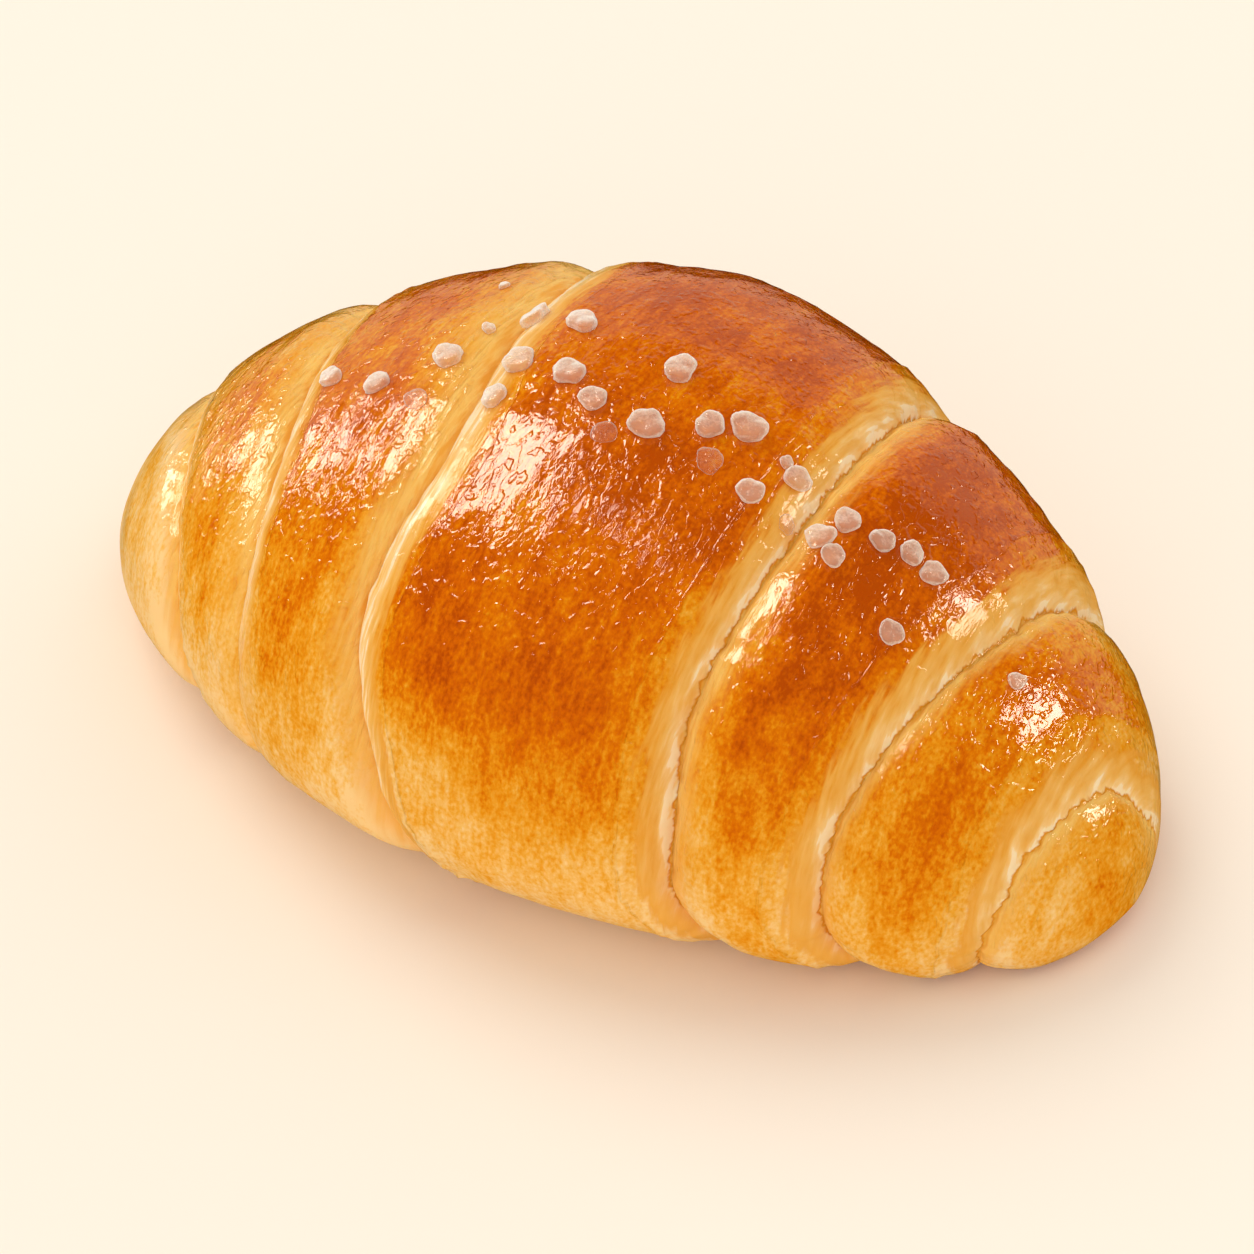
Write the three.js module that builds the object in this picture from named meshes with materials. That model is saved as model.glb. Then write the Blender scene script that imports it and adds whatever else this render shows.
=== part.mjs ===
// Salt bread roll: a tapered strip of dough rolled up on itself, baked on a flat tray,
// with coarse salt crystals along its ridge. Millimetres, +Z up. The roll lies along X
// and its flat sole is on Z = 0. The bread is one baked body; each crystal is loose.
import * as THREE from "three";

// Overall size of the baked roll.
const LENGTH = 130;
const WIDTH = 84;
const HEIGHT = 53;

// The outline seen from above: half width = (1 - |u|^grow)^(1 / blunt), u = -1..1 end to end.
const LEFT_TAPER = { grow: 1.61, blunt: 1.78 };
const RIGHT_TAPER = { grow: 1.55, blunt: 2.11 };

// The cross-section: widest this share of the way up, flatter below than above.
const WIDEST_SHARE = 0.37;
const SQUARENESS_BELOW = 2.5;
const SQUARENESS_ABOVE = 2.0;

// The soft dough sags this far onto the tray, which makes the flat sole.
const SAG = 1.6;

// The two ends curl up off the tray: rise at the end, and how late it starts.
const LEFT_CURL = { rise: 4.0, onset: 2.5 };
const RIGHT_CURL = { rise: 5.0, onset: 20 };

// Each edge of the strip shows as a crease that winds outwards: [turns from the strip's
// tip, place along the roll as a share of half its length]. Turn 0 is under the roll,
// 0.25 its front, 0.5 its top and 0.75 its back.
const LEFT_EDGE = [
  [0.0, 0.14], [0.1, 0.05], [0.17, -0.03], [0.23, -0.09], [0.28, -0.145], [0.32, -0.195],
  [0.37, -0.208], [0.43, -0.188], [0.5, -0.221], [0.6, -0.264], [0.8, -0.32], [1.0, -0.36],
  [1.2, -0.41], [1.34, -0.478], [1.42, -0.531], [1.49, -0.586], [1.58, -0.617],
  [1.7, -0.625], [1.87, -0.6], [2.05, -0.565], [2.19, -0.578], [2.26, -0.633],
  [2.33, -0.686], [2.4, -0.759], [2.45, -0.808], [2.52, -0.854], [2.7, -0.91], [3.0, -0.94],
];
const RIGHT_EDGE = [
  [0.0, 0.54], [0.1, 0.5], [0.17, 0.455], [0.23, 0.407], [0.3, 0.395], [0.36, 0.375],
  [0.46, 0.388], [0.55, 0.378], [0.65, 0.36], [0.78, 0.45], [0.9, 0.56], [1.05, 0.67],
  [1.16, 0.685], [1.21, 0.645], [1.3, 0.627], [1.37, 0.647], [1.47, 0.691], [1.56, 0.716],
  [1.66, 0.738], [1.8, 0.77], [2.0, 0.82], [2.16, 0.843], [2.26, 0.859], [2.41, 0.896],
  [2.51, 0.926], [2.59, 0.965], [2.7, 0.98], [3.0, 0.985],
];
const TURNS = 3;

// The step at a crease: the upper wrap rounds down into it, the lower wrap slopes up out.
const CREASE_DEPTH = 2.6;
const LIP_ROUNDING = 5.0;
const FAR_SLOPE = 6.0;
// Where a crease fades: near the tucked-under tip, near the ends, and where the second
// left wrap has baked shut at the front.
const TIP_FADE = [0.0, 0.12];
const END_FADE = [2.6, 3.0];
const LAST_TURN_DEPTH = 0.75;
const BAKED_SHUT = { from: [0.95, 1.1], to: [1.28, 1.42], loss: 0.75 };
// The creases shallow out where the roll is thinner than this across.
const THIN_RADIUS = 14;

// Coarse salt crystals: [place along the roll, angle up from the front in degrees, size mm].
const SALT_GRAINS = [
  [-0.492, 75, 3.0], [-0.392, 74, 3.0], [-0.296, 82, 3.4], [-0.221, 96, 3.5],
  [-0.101, 95, 3.4], [-0.154, 83, 3.5], [-0.059, 83, 3.6], [-0.16, 75, 3.0],
  [0.008, 80, 3.0], [0.088, 92, 3.5], [0.115, 80, 3.8], [0.193, 85, 3.3],
  [0.246, 89, 3.8], [0.237, 80, 3.1], [0.308, 79, 3.1], [0.322, 88, 1.6],
  [0.357, 87, 3.1], [0.443, 86, 3.0], [0.424, 80, 3.3], [0.463, 78, 2.8],
  [0.517, 87, 2.8], [0.551, 89, 2.9], [0.589, 89, 3.1], [0.594, 72, 2.9],
  [0.773, 86, 2.2], [-0.299, 72, 2.9], [0.053, 75, 2.9], [0.391, 79, 2.2],
  [-0.321, 105, 1.3], [-0.272, 91, 1.6],
];
const GRAIN_THICKNESS = 0.55; // share of the crystal's size
const GRAIN_GAP = 0.35; // clear of the crust

// Mesh fineness
const BREAD_STATIONS = 62;
const BREAD_SIDES = 56;
const STATION_TABLE = 400;
const CREASE_CROWDING = 4;
const CROWDING_WIDTH = 3.0;
const GRAIN_SIDES = 9;

const clamp = (value, low, high) => Math.min(high, Math.max(low, value));

// 0 before a, 1 after b, a smooth S between.
function easeBetween([a, b], value) {
  const t = clamp((value - a) / (b - a), 0, 1);
  return t * t * (3 - 2 * t);
}

// A smooth curve through the points of a table [[position, value], ...].
function curveThrough(points, position) {
  const last = points.length - 1;
  const slopeAt = (i) => {
    const before = points[Math.max(i - 1, 0)];
    const after = points[Math.min(i + 1, last)];
    return (after[1] - before[1]) / (after[0] - before[0]);
  };
  let i = 0;
  while (i < last - 1 && points[i + 1][0] <= position) i += 1;
  const span = points[i + 1][0] - points[i][0];
  const t = (position - points[i][0]) / span;
  const fromStart = (1 + 2 * t) * (1 - t) * (1 - t) * points[i][1];
  const startSlope = t * (1 - t) * (1 - t) * span * slopeAt(i);
  const toEnd = t * t * (3 - 2 * t) * points[i + 1][1];
  const endSlope = t * t * (t - 1) * span * slopeAt(i + 1);
  return fromStart + startSlope + toEnd + endSlope;
}

// The creases: which edge of the strip, and which way its lower wrap lies.
const EDGES = [
  { table: LEFT_EDGE, outward: -1, bakedShut: true },
  { table: RIGHT_EDGE, outward: 1, bakedShut: false },
];

// How deep a crease is after this many turns, 0..1.
function creaseStrength(edge, turns) {
  let strength = easeBetween(TIP_FADE, turns) * (1 - easeBetween(END_FADE, turns));
  if (turns >= TURNS - 1) strength *= LAST_TURN_DEPTH;
  if (edge.bakedShut) {
    const shut = easeBetween(BAKED_SHUT.from, turns) * (1 - easeBetween(BAKED_SHUT.to, turns));
    strength *= 1 - BAKED_SHUT.loss * shut;
  }
  return strength;
}

// Every crease met at this turn of the section: its x and its strength.
function creasesAt(turn) {
  const creases = [];
  for (const edge of EDGES) {
    for (let k = 0; k < TURNS; k += 1) {
      const x = (curveThrough(edge.table, turn + k) * LENGTH) / 2;
      creases.push({ x, outward: edge.outward, strength: creaseStrength(edge, turn + k) });
    }
  }
  return creases;
}

// How far the crust lies below the smooth outline.
function creaseDrop(x, creases) {
  let drop = 0;
  for (const crease of creases) {
    const beyond = crease.outward * (x - crease.x);
    const onLip = clamp(1 + beyond / LIP_ROUNDING, 0, 1);
    const onSlope = clamp(1 - beyond / FAR_SLOPE, 0, 1);
    const share = beyond < 0 ? 1 - Math.sqrt(1 - onLip * onLip) : onSlope * onSlope;
    drop = Math.max(drop, CREASE_DEPTH * crease.strength * share);
  }
  return drop;
}

// A point of the crust: x along the roll, turn 0..1 round it from underneath.
function crustPoint(x, turn, creases) {
  const u = clamp((2 * x) / LENGTH, -1, 1);
  const taper = u < 0 ? LEFT_TAPER : RIGHT_TAPER;
  const curl = u < 0 ? LEFT_CURL : RIGHT_CURL;
  const girth = Math.pow(1 - Math.pow(Math.abs(u), taper.grow), 1 / taper.blunt);
  const halfWidth = (WIDTH / 2) * girth;
  const fullHeight = (HEIGHT + SAG) * girth;
  const angle = (turn - 0.25) * 2 * Math.PI;
  const across = Math.cos(angle);
  const up = Math.sin(angle);
  const squareness = up < 0 ? SQUARENESS_BELOW : SQUARENESS_ABOVE;
  const sum = Math.pow(Math.abs(across), squareness) + Math.pow(Math.abs(up), squareness);
  const ring = Math.pow(sum, -1 / squareness);
  const below = fullHeight * WIDEST_SHARE;
  const above = fullHeight - below;
  const radius = Math.sqrt((halfWidth * fullHeight) / 2);
  const depth = radius > 0 ? creaseDrop(x, creases) / radius : 0;
  const shrink = 1 - depth * Math.min(1, radius / THIN_RADIUS);
  const y = -halfWidth * shrink * ring * across;
  const centre = below + curl.rise * Math.pow(Math.abs(u), curl.onset) - SAG;
  const z = centre + (up < 0 ? below : above) * shrink * ring * up;
  return new THREE.Vector3(x, y, Math.max(z, 0));
}

// x of the stations at one turn: crowded at the two ends and at each crease.
function stationsAt(creases) {
  const xs = [];
  const running = [0];
  let previous = 0;
  for (let i = 0; i <= STATION_TABLE; i += 1) {
    const x = (-Math.cos((Math.PI * i) / STATION_TABLE) * LENGTH) / 2;
    const openness = Math.sin((Math.PI * i) / STATION_TABLE);
    let density = 1;
    for (const crease of creases) {
      const away = (x - crease.x) / CROWDING_WIDTH;
      density += CREASE_CROWDING * crease.strength * Math.exp(-away * away) * openness;
    }
    xs.push(x);
    if (i > 0) running.push(running[i - 1] + (density + previous) / 2);
    previous = density;
  }
  const stations = [];
  let i = 0;
  for (let s = 1; s < BREAD_STATIONS; s += 1) {
    const wanted = (running[STATION_TABLE] * s) / BREAD_STATIONS;
    while (running[i + 1] < wanted) i += 1;
    const t = (wanted - running[i]) / (running[i + 1] - running[i]);
    stations.push(xs[i] + t * (xs[i + 1] - xs[i]));
  }
  return stations;
}

// A closed skin: rings of points, each ring turning right-handed about the way from the
// first single point to the last.
function closedSkin(firstPoint, rings, lastPoint) {
  const sides = rings[0].length;
  const points = [firstPoint, ...rings.flat(), lastPoint];
  const faces = [];
  const at = (ring, side) => 1 + ring * sides + (side % sides);
  const last = points.length - 1;
  for (let side = 0; side < sides; side += 1) {
    faces.push(0, at(0, side + 1), at(0, side));
    faces.push(last, at(rings.length - 1, side), at(rings.length - 1, side + 1));
    for (let ring = 0; ring < rings.length - 1; ring += 1) {
      const a = at(ring, side);
      const b = at(ring, side + 1);
      const c = at(ring + 1, side + 1);
      const d = at(ring + 1, side);
      faces.push(a, b, c, a, c, d);
    }
  }
  const geometry = new THREE.BufferGeometry().setFromPoints(points);
  geometry.setIndex(faces);
  geometry.computeVertexNormals();
  return geometry;
}

function breadGeometry() {
  const columns = [];
  for (let side = 0; side < BREAD_SIDES; side += 1) {
    const turn = side / BREAD_SIDES;
    const creases = creasesAt(turn);
    columns.push(stationsAt(creases).map((x) => crustPoint(x, turn, creases)));
  }
  const rings = columns[0].map((_, station) => columns.map((column) => column[station]));
  const leftEnd = crustPoint(-LENGTH / 2, 0, creasesAt(0));
  const rightEnd = crustPoint(LENGTH / 2, 0, creasesAt(0));
  return closedSkin(rightEnd, rings.reverse(), leftEnd);
}

// The smooth outline's own frame at a point: along the roll, round it, and outwards.
function outlineFrame(x, turn) {
  const step = 0.25;
  const turnStep = 0.002;
  const along = crustPoint(x + step, turn, []).sub(crustPoint(x - step, turn, []));
  const round = crustPoint(x, turn + turnStep, []).sub(crustPoint(x, turn - turnStep, []));
  const outward = new THREE.Vector3().crossVectors(along, round).normalize();
  if (outward.z < 0) outward.negate();
  along.normalize();
  const sideways = new THREE.Vector3().crossVectors(outward, along);
  return { along, sideways, outward };
}

// A worn crystal: flat underneath, bulging, with a smaller uneven top.
function grainGeometry(index, [place, degrees, size]) {
  const x = (place * LENGTH) / 2;
  const turn = degrees / 360 + 0.25;
  const { along, sideways, outward } = outlineFrame(x, turn);
  const foot = crustPoint(x, turn, []);
  const footing = [];
  // The highest crust under the crystal decides how high it sits.
  let rest = -CREASE_DEPTH;
  const reach = size / 2;
  const around = 12;
  for (let i = 0; i < around; i += 1) {
    const a = (2 * Math.PI * i) / around;
    for (const share of [0, 0.5, 1]) {
      const sampleX = x + reach * share * Math.cos(a);
      const sampleTurn = turn + (reach * share * Math.sin(a)) / (Math.PI * WIDTH * 0.8);
      const sample = crustPoint(sampleX, sampleTurn, creasesAt(sampleTurn));
      footing.push(sample.sub(foot).dot(outward));
    }
  }
  rest = Math.max(rest, ...footing) + GRAIN_GAP;
  // Rings of the crystal: [height share, radius share].
  const profile = [
    [0, 0.72],
    [0.38, 1],
    [0.8, 0.84],
    [1, 0.5],
  ];
  const thickness = size * GRAIN_THICKNESS;
  const spin = index * 2.4;
  const pointAt = (height, radius, a) =>
    foot
      .clone()
      .addScaledVector(outward, rest + height)
      .addScaledVector(along, radius * Math.cos(a))
      .addScaledVector(sideways, radius * Math.sin(a));
  const rings = profile.map(([up, out]) => {
    const ring = [];
    for (let side = 0; side < GRAIN_SIDES; side += 1) {
      const a = (2 * Math.PI * side) / GRAIN_SIDES;
      const uneven = 1 + 0.09 * Math.sin(2 * a + spin) + 0.05 * Math.sin(3 * a - 2 * spin);
      ring.push(pointAt(thickness * up, (size / 2) * 0.92 * out * uneven, a));
    }
    return ring;
  });
  return closedSkin(pointAt(0, 0, 0), rings, pointAt(thickness, 0, 0));
}

const roll = new THREE.Group();
roll.name = "salt_bread_roll";

const crust = new THREE.MeshStandardMaterial({ color: 0xc9731c, roughness: 0.35, metalness: 0 });
crust.name = "baked_crust";
const bread = new THREE.Mesh(breadGeometry(), crust);
bread.name = "bread";
roll.add(bread);

SALT_GRAINS.forEach((spec, index) => {
  const salt = new THREE.MeshStandardMaterial({ color: 0xf6ece6, roughness: 0.25, metalness: 0 });
  salt.name = "salt_crystal";
  const grain = new THREE.Mesh(grainGeometry(index, spec), salt);
  grain.name = `salt_grain_${String(index + 1).padStart(2, "0")}`;
  roll.add(grain);
});

export default roll;
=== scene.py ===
# %% [markdown]
# # A salt bread roll
#
# A strip of enriched dough, wide at one end and blunt at the other, is rolled up from its
# wide end, laid on a tray with the tip underneath, washed with egg, sprinkled with coarse
# salt and baked. What the eye sees is a fat spindle of overlapping wraps, each stepping down
# to the next in a torn pale crease, under a glossy crinkled crust.
#
# Everything made here takes its size and place from it, in metres, with the sole of the roll
# on the floor.

# %% The measured frame
import math

import bpy
import numpy as np
from mathutils import Matrix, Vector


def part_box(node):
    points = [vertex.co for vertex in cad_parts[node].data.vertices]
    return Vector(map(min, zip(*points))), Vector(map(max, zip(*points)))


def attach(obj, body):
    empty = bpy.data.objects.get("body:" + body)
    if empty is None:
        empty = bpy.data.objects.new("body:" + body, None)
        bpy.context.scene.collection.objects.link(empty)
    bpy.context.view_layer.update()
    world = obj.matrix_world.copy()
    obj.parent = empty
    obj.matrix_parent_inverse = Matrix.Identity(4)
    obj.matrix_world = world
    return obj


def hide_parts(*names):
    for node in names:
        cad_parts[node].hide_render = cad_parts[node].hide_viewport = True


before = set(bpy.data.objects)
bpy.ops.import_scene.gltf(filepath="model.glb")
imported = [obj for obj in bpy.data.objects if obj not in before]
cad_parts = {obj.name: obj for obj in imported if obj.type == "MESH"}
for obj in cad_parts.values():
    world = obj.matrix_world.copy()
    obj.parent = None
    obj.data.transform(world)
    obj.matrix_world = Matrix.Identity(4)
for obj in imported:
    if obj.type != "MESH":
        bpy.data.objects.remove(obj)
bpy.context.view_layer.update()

MM = 0.001
low, high = (np.array(corner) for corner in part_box("bread"))
LENGTH, WIDTH, HEIGHT = (high - low) / MM
MIDDLE_X = (low[0] + high[0]) / 2 / MM
print("bread, mm:", round(LENGTH, 1), round(WIDTH, 1), round(HEIGHT, 1))

# %% [markdown]
# ## Noise
#
# Dough is never even, so most of this lesson adds small irregularities. Value noise is the
# simplest kind: every corner of a lattice gets a fixed pseudo-random height, and a point
# takes a smooth blend of the eight corners round it. Hashing whole numbers gives the same
# heights on every run, with nothing random to seed.


# %% Lattice noise
def ease(start, end, value):
    """0 up to start, 1 from end on, and 3t^2 - 2t^3 of the way t between them."""
    t = np.clip((np.asarray(value, float) - start) / (end - start), 0, 1)
    return t * t * (3 - 2 * t)


def corner_height(cell, seed):
    """A fixed number from -1 to 1 for each lattice corner: its three whole numbers are
    multiplied by large odd numbers, mixed by exclusive or, and scrambled twice."""
    mixed = cell[..., 0] * 73856093 ^ cell[..., 1] * 19349663 ^ cell[..., 2] * 83492791
    mixed = (mixed ^ (seed * 2654435761)) & 0xFFFFFFFF
    for _ in range(2):
        mixed = ((mixed >> 15) ^ mixed) * 0x2C1B3C6D & 0xFFFFFFFF
    mixed = (mixed >> 13) ^ mixed
    return (mixed & 0xFFFF) / 32767.5 - 1


def noise(points, seed=0):
    """Value noise, -1 to 1: the eight corner heights round each point, weighted by the eased
    distance along each axis."""
    points = np.asarray(points, float)
    cell = np.floor(points).astype(np.int64)
    t = points - cell
    t = t * t * (3 - 2 * t)
    total = np.zeros(points.shape[:-1])
    for corner in np.ndindex(2, 2, 2):
        step = np.array(corner)
        weight = np.prod(np.where(step == 1, t, 1 - t), axis=-1)
        total += weight * corner_height(cell + step, seed)
    return total


def layered_noise(points, seed=0, layers=3):
    """Noise plus finer, fainter copies: each layer is half the size and half the height."""
    return sum(noise(points * 2**i, seed + i) / 2**i for i in range(layers))


# %% [markdown]
# ## The spiral of the strip
#
# Unrolled, the dough is a long triangle. Rolled up, each of its two edges winds round the
# roll as one long spiral, and each turn of an edge is one crease. So a crease isn't a ring:
# its place along the roll drifts outwards as it goes round. Each edge is a smooth curve
# through a few places, given by how many turns they are from the tip under the roll.

# %% The two edges
LEFT_EDGE = [
    (0.0, 0.14), (0.1, 0.05), (0.17, -0.03), (0.23, -0.09), (0.28, -0.145), (0.32, -0.195),
    (0.37, -0.208), (0.43, -0.188), (0.5, -0.221), (0.6, -0.264), (0.8, -0.32), (1.0, -0.36),
    (1.2, -0.41), (1.34, -0.478), (1.42, -0.531), (1.49, -0.586), (1.58, -0.617),
    (1.7, -0.625), (1.87, -0.6), (2.05, -0.565), (2.19, -0.578), (2.26, -0.633),
    (2.33, -0.686), (2.4, -0.759), (2.45, -0.808), (2.52, -0.854), (2.7, -0.91), (3.0, -0.94),
]
RIGHT_EDGE = [
    (0.0, 0.54), (0.1, 0.5), (0.17, 0.455), (0.23, 0.407), (0.3, 0.395), (0.36, 0.375),
    (0.46, 0.388), (0.55, 0.378), (0.65, 0.36), (0.78, 0.45), (0.9, 0.56), (1.05, 0.67),
    (1.16, 0.685), (1.21, 0.645), (1.3, 0.627), (1.37, 0.647), (1.47, 0.691), (1.56, 0.716),
    (1.66, 0.738), (1.8, 0.77), (2.0, 0.82), (2.16, 0.843), (2.26, 0.859), (2.41, 0.896),
    (2.51, 0.926), (2.59, 0.965), (2.7, 0.98), (3.0, 0.985),
]
TURNS = 3
GIRTH = 213.0  # mm once round the middle, for the scale of noise along a crease


def curve_through(points, position):
    """A smooth curve through (position, value) points: between two of them a cubic whose
    slope at each is that of the line joining its neighbours."""
    at, value = np.array(points).T
    slope = np.empty(len(at))
    slope[1:-1] = (value[2:] - value[:-2]) / (at[2:] - at[:-2])
    slope[0] = (value[1] - value[0]) / (at[1] - at[0])
    slope[-1] = (value[-1] - value[-2]) / (at[-1] - at[-2])
    i = np.clip(np.searchsorted(at, position, side="right") - 1, 0, len(at) - 2)
    span = at[i + 1] - at[i]
    t = (position - at[i]) / span
    start = (1 + 2 * t) * (1 - t) ** 2 * value[i] + t * (1 - t) ** 2 * span * slope[i]
    end = t * t * (3 - 2 * t) * value[i + 1] + t * t * (t - 1) * span * slope[i + 1]
    return start + end


def edge_strength(side, turns):
    """How deep a crease is, 0 to 1: it fades in from the tucked-under tip and out at the
    ends, is shallower on its last turn, and the left one has baked shut low in front."""
    strength = ease(0.0, 0.12, turns) * (1 - ease(2.6, 3.0, turns))
    strength = strength * np.where(turns >= TURNS - 1, 0.75, 1.0)
    if side < 0:
        strength = strength * (1 - 0.75 * ease(0.95, 1.1, turns) * (1 - ease(1.28, 1.42, turns)))
    return strength


# %% [markdown]
# ## Where each crease runs, with its torn edge
#
# As the dough rises in the oven the wraps pull apart, and the skin tears in small jags a
# millimetre or two long. So each crease wanders a little from the smooth spiral, slowly over
# a few centimetres and quickly over a millimetre.

# %% Creases at each turn of the section
SIDES = 320
turn = np.arange(SIDES) / SIDES
WANDER_MM, WANDER_LENGTH = 0.35, 12.0
JAG_MM, JAG_LENGTH = 0.22, 1.7


def crease_line(side, number):
    """One crease as it goes once round: its x in mm and its strength for every side."""
    turns = turn + number
    table = LEFT_EDGE if side < 0 else RIGHT_EDGE
    x = curve_through(table, turns) * LENGTH / 2 + MIDDLE_X
    arc = turns * GIRTH
    flat = np.zeros_like(arc) + side * 7.3
    x = x + WANDER_MM * noise(np.stack([arc / WANDER_LENGTH, flat, flat], -1), 3)
    x = x + JAG_MM * noise(np.stack([arc / JAG_LENGTH, flat, flat], -1), 4)
    return {"side": side, "x": x, "strength": edge_strength(side, turns), "turns": turns}


creases = [crease_line(side, number) for side in (-1, 1) for number in range(TURNS)]
print("creases:", len(creases))

# %% [markdown]
# ## The body of the roll
#
# Seen from above, the half width follows (1 - |u|^grow)^(1/blunt) from end to end, which is
# an ellipse when both numbers are 2, more pointed as grow falls and more blunt as blunt
# rises. Across, the section is a superellipse, squarer below where the soft dough slumps.
# The weight of the dough presses the lowest part flat on the tray, which makes the sole.

# %% Body shape
LEFT_TAPER = (1.61, 1.78)  # grow, blunt
RIGHT_TAPER = (1.55, 2.11)
WIDEST_SHARE = 0.37
SQUARE_BELOW, SQUARE_ABOVE = 2.5, 2.0
SAG = 1.6
LEFT_CURL = (4.0, 2.5)  # how far the end curls up, and how late the curl starts
RIGHT_CURL = (5.0, 20)
THIN_RADIUS = 14.0  # creases are shallower where the roll is thinner than this


def pick(u, left, right, i):
    """The left or the right end's i-th number, by the sign of u."""
    return np.where(u < 0, left[i], right[i])


def body(x, inset):
    """The skin in mm, for x on the grid and a depth below the smooth outline: the section's
    ring times the half width and the half heights, less the depth all round."""
    u = np.clip(2 * (x - MIDDLE_X) / LENGTH, -1, 1)
    reach = np.abs(u)
    girth = (1 - reach ** pick(u, LEFT_TAPER, RIGHT_TAPER, 0)).clip(0)
    girth = girth ** (1 / pick(u, LEFT_TAPER, RIGHT_TAPER, 1))
    half_width = WIDTH / 2 * girth
    full_height = (HEIGHT + SAG) * girth
    angle = (turn - 0.25) * 2 * math.pi
    across, up = np.cos(angle), np.sin(angle)
    square = np.where(up < 0, SQUARE_BELOW, SQUARE_ABOVE)
    ring = (np.abs(across) ** square + np.abs(up) ** square) ** (-1 / square)
    below = full_height * WIDEST_SHARE
    above = full_height - below
    radius = np.sqrt(half_width * full_height / 2)
    shrink = 1 - inset * np.minimum(1, radius / THIN_RADIUS) / np.maximum(radius, 1e-6)
    y = -half_width * shrink * ring * across
    curl = pick(u, LEFT_CURL, RIGHT_CURL, 0) * reach ** pick(u, LEFT_CURL, RIGHT_CURL, 1)
    z = below + curl - SAG + np.where(up < 0, below, above) * shrink * ring * up
    return np.stack([x, y, z], -1)


# %% [markdown]
# ## A grid that crowds round the creases
#
# A crease is a few millimetres of detail on a thirteen centimetre roll. Instead of a finer
# grid everywhere, the lines across the roll are spaced by a density that is several times
# higher near a crease, and each side of the roll gets its own spacing, so that the lines
# follow the spirals.

# %% Grid lines
LINES = 288
CROWDING = 5.0
CROWD_MM = 2.4
TABLE = 1500


def grid_lines():
    """x of every line at every side: the running total of the density, read backwards."""
    sweep = np.linspace(0, math.pi, TABLE)
    x = -np.cos(sweep) * LENGTH / 2 + MIDDLE_X
    density = np.ones((TABLE, SIDES))
    for crease in creases:
        near = np.exp(-(((x[:, None] - crease["x"]) / CROWD_MM) ** 2))
        density += CROWDING * crease["strength"] * near * np.sin(sweep)[:, None]
    total = np.cumsum(density, axis=0)
    total = (total - total[0]) / (total[-1] - total[0])
    wanted = np.linspace(0, 1, LINES + 2)[1:-1]
    return np.stack([np.interp(wanted, total[:, j], x) for j in range(SIDES)], 1)


x = grid_lines()
print("grid:", x.shape)

# %% [markdown]
# ## What the creases do to the skin
#
# On the side of the upper wrap the skin rounds down like the edge of a cushion. On the far
# side the lower wrap slopes up out of the crease. The egg wash was brushed on before the
# dough rose, so the strip of skin that opened up next to the crease has no glaze: it ends
# at a thin raised lip. The lower wrap comes out from under the upper one pale, and takes its
# colour over the next few millimetres.
#
# The material needs to know where it is across such a strip, so every point keeps its
# distance to the nearest crease twice: in millimetres for the crack, and as a share of the
# strip's width there, from -1 at the lip to 0 at the crack and 1 where the pale zone ends.

# %% Crease profile and places across it
# How wide the bare strip of the upper wrap is, and how far the lower wrap stays pale, in mm,
# against turns. Both are widest over the top of the roll, where the dough rose the most.
LEFT_BAND = [
    (0, 2.8), (0.2, 4.8), (0.3, 5.2), (0.5, 5.4), (1, 3.2), (1.5, 3.4), (2, 2.4), (3, 1.8)
]
RIGHT_BAND = [
    (0, 3.0), (0.28, 4.2), (0.5, 5.2), (0.62, 5.8), (1, 4.0), (1.3, 4.0), (1.5, 4.6),
    (1.65, 5.4), (2, 3.4), (2.3, 3.4), (2.5, 4.6), (3, 2.4),
]
LEFT_PALE = [
    (0, 3.0), (0.3, 4.6), (0.5, 8.5), (0.7, 7.0), (1, 4.0), (1.45, 5.0), (2, 2.5),
    (2.4, 3.5), (3, 3),
]
RIGHT_PALE = [
    (0, 3.0), (0.3, 3.6), (0.5, 4.5), (1, 3.0), (1.3, 2.6), (1.5, 3.2), (2, 2.5), (3, 2)
]
CREASE_DEPTH = 2.6
LIP_ROUNDING = 5.0
FAR_SLOPE = 6.0
FAR_MM = 6.0  # a crease colours the crust at least this far
SHOULDER_MM = 5.0  # the paler shoulder reaches this far past the strip
FAINT_MM = 3.0  # how much nearer a deep crease counts than one that has faded out
LEFT_POWER = 2.6  # a left strip stays cream nearly up to its lip
print("widest strip, mm:", max(width for _, width in LEFT_BAND + RIGHT_BAND))

# %% [markdown]
# ## Every point's nearest crease
#
# Each point keeps the numbers of the crease nearest to it, and is pressed in by whichever
# crease presses it deepest. A crease that has faded out counts as further away than it is.

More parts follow.
